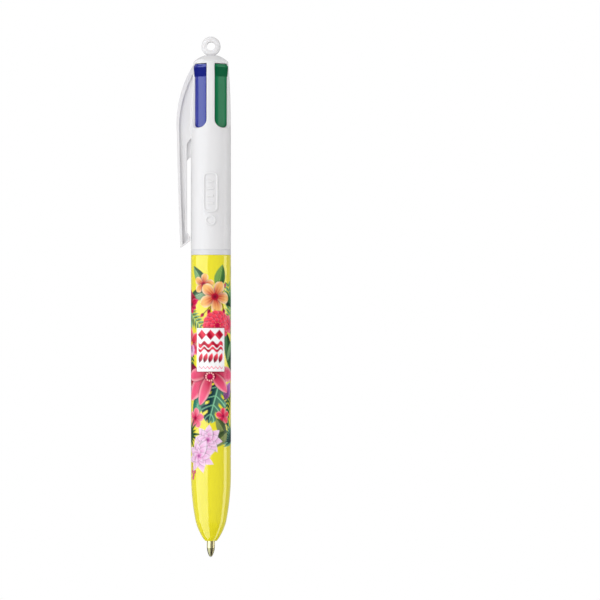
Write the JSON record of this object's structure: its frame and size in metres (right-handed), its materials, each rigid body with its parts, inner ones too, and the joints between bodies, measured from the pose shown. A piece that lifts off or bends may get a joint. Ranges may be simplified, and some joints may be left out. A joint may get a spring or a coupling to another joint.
{
  "type": "multicolour click pen",
  "caption": "Retractable multicolour ballpoint pen with push sliders, a printed lower barrel, a pocket clip and a lanyard ring.",
  "frame": {"origin": "centre of the lanyard ring's hole, on the pen's axis", "axes": "+Z along the pen's axis, away from the point; +Y along the lanyard ring's hole; the pocket clip is on the -X side"},
  "size_m": [0.0157, 0.0119, 0.1495],
  "materials": {
    "white_plastic": "smooth moulded white plastic",
    "collar_plastic": "smooth pale lilac-grey plastic",
    "printed_yellow": "glossy yellow with a printed tropical flower pattern",
    "core_plastic": "plain moulded plastic",
    "spring_steel": "drawn spring wire",
    "tube_plastic": "translucent extruded tube",
    "brass": "turned brass",
    "ball_metal": "polished tungsten carbide",
    "black_plastic": "glossy moulded black plastic",
    "black_ink": "thick black ballpoint ink",
    "blue_plastic": "glossy moulded blue plastic",
    "blue_ink": "thick blue ballpoint ink",
    "green_plastic": "glossy moulded green plastic",
    "green_ink": "thick green ballpoint ink",
    "red_plastic": "glossy moulded red plastic",
    "red_ink": "thick red ballpoint ink"
  },
  "bodies": {
    "upper_body": {"upper_barrel": "white_plastic", "guide_core": "core_plastic", "spring_plate": "core_plastic", "black_spring": "spring_steel", "blue_spring": "spring_steel", "green_spring": "spring_steel", "red_spring": "spring_steel"},
    "collar": {"collar_ring": "collar_plastic"},
    "lower_body": {"lower_barrel": "printed_yellow"},
    "black_slide_body": {"black_slider": "black_plastic"},
    "black_refill": {"black_tube": "tube_plastic", "black_ink": "black_ink", "black_point": "brass", "black_ball": "ball_metal"},
    "blue_slide_body": {"blue_slider": "blue_plastic"},
    "blue_refill": {"blue_tube": "tube_plastic", "blue_ink": "blue_ink", "blue_point": "brass", "blue_ball": "ball_metal"},
    "green_slide_body": {"green_slider": "green_plastic"},
    "green_refill": {"green_tube": "tube_plastic", "green_ink": "green_ink", "green_point": "brass", "green_ball": "ball_metal"},
    "red_slide_body": {"red_slider": "red_plastic"},
    "red_refill": {"red_tube": "tube_plastic", "red_ink": "red_ink", "red_point": "brass", "red_ball": "ball_metal"}
  },
  "joints": [
    {"name": "black_slide", "type": "slide", "parent": "upper_body", "child": "black_slide_body", "axis": [0, 0, -1], "range_m": [-0.01, 0], "deforming": ["black_spring", "black_tube", "black_ink", "black_point", "black_ball"]},
    {"name": "black_lean", "type": "hinge", "parent": "black_slide_body", "child": "black_refill", "pos_m": [0.00173, 0.00173, -0.048], "axis": [-0.7071, 0.7071, 0], "range_deg": [-1.49, 0]},
    {"name": "blue_slide", "type": "slide", "parent": "upper_body", "child": "blue_slide_body", "axis": [0, 0, -1], "range_m": [0, 0.01], "stiffness_N_per_m": 100, "springref_m": -0.005, "deforming": ["blue_spring", "blue_tube", "blue_ink", "blue_point", "blue_ball"]},
    {"name": "blue_lean", "type": "hinge", "parent": "blue_slide_body", "child": "blue_refill", "pos_m": [-0.00173, -0.00173, -0.038], "axis": [0.7071, -0.7071, 0], "range_deg": [0, 1.49]},
    {"name": "green_slide", "type": "slide", "parent": "upper_body", "child": "green_slide_body", "axis": [0, 0, -1], "range_m": [0, 0.01], "stiffness_N_per_m": 100, "springref_m": -0.005, "deforming": ["green_spring", "green_tube", "green_ink", "green_point", "green_ball"]},
    {"name": "green_lean", "type": "hinge", "parent": "green_slide_body", "child": "green_refill", "pos_m": [0.00173, -0.00173, -0.038], "axis": [0.7071, 0.7071, 0], "range_deg": [0, 1.49]},
    {"name": "red_slide", "type": "slide", "parent": "upper_body", "child": "red_slide_body", "axis": [0, 0, -1], "range_m": [0, 0.01], "stiffness_N_per_m": 100, "springref_m": -0.005, "deforming": ["red_spring", "red_tube", "red_ink", "red_point", "red_ball"]},
    {"name": "red_lean", "type": "hinge", "parent": "red_slide_body", "child": "red_refill", "pos_m": [-0.00173, 0.00173, -0.038], "axis": [-0.7071, -0.7071, 0], "range_deg": [0, 1.49]},
    {"name": "lower_barrel_unscrew", "type": "hinge", "parent": "upper_body", "child": "collar", "pos_m": [0, 0, -0.0584], "axis": [0, 0, -1], "range_deg": [0, 2160]},
    {"name": "lower_barrel_travel", "type": "slide", "parent": "collar", "child": "lower_body", "axis": [0, 0, -1], "range_m": [0, 0.009]}
  ],
  "couplings": [
    {"joint": "black_lean", "follows": "black_slide", "rad_per_m": 2.6028},
    {"joint": "blue_lean", "follows": "blue_slide", "rad_per_m": 2.6028},
    {"joint": "green_lean", "follows": "green_slide", "rad_per_m": 2.6028},
    {"joint": "red_lean", "follows": "red_slide", "rad_per_m": 2.6028},
    {"joint": "lower_barrel_travel", "follows": "lower_barrel_unscrew", "m_per_rad": 0.00023873}
  ]
}
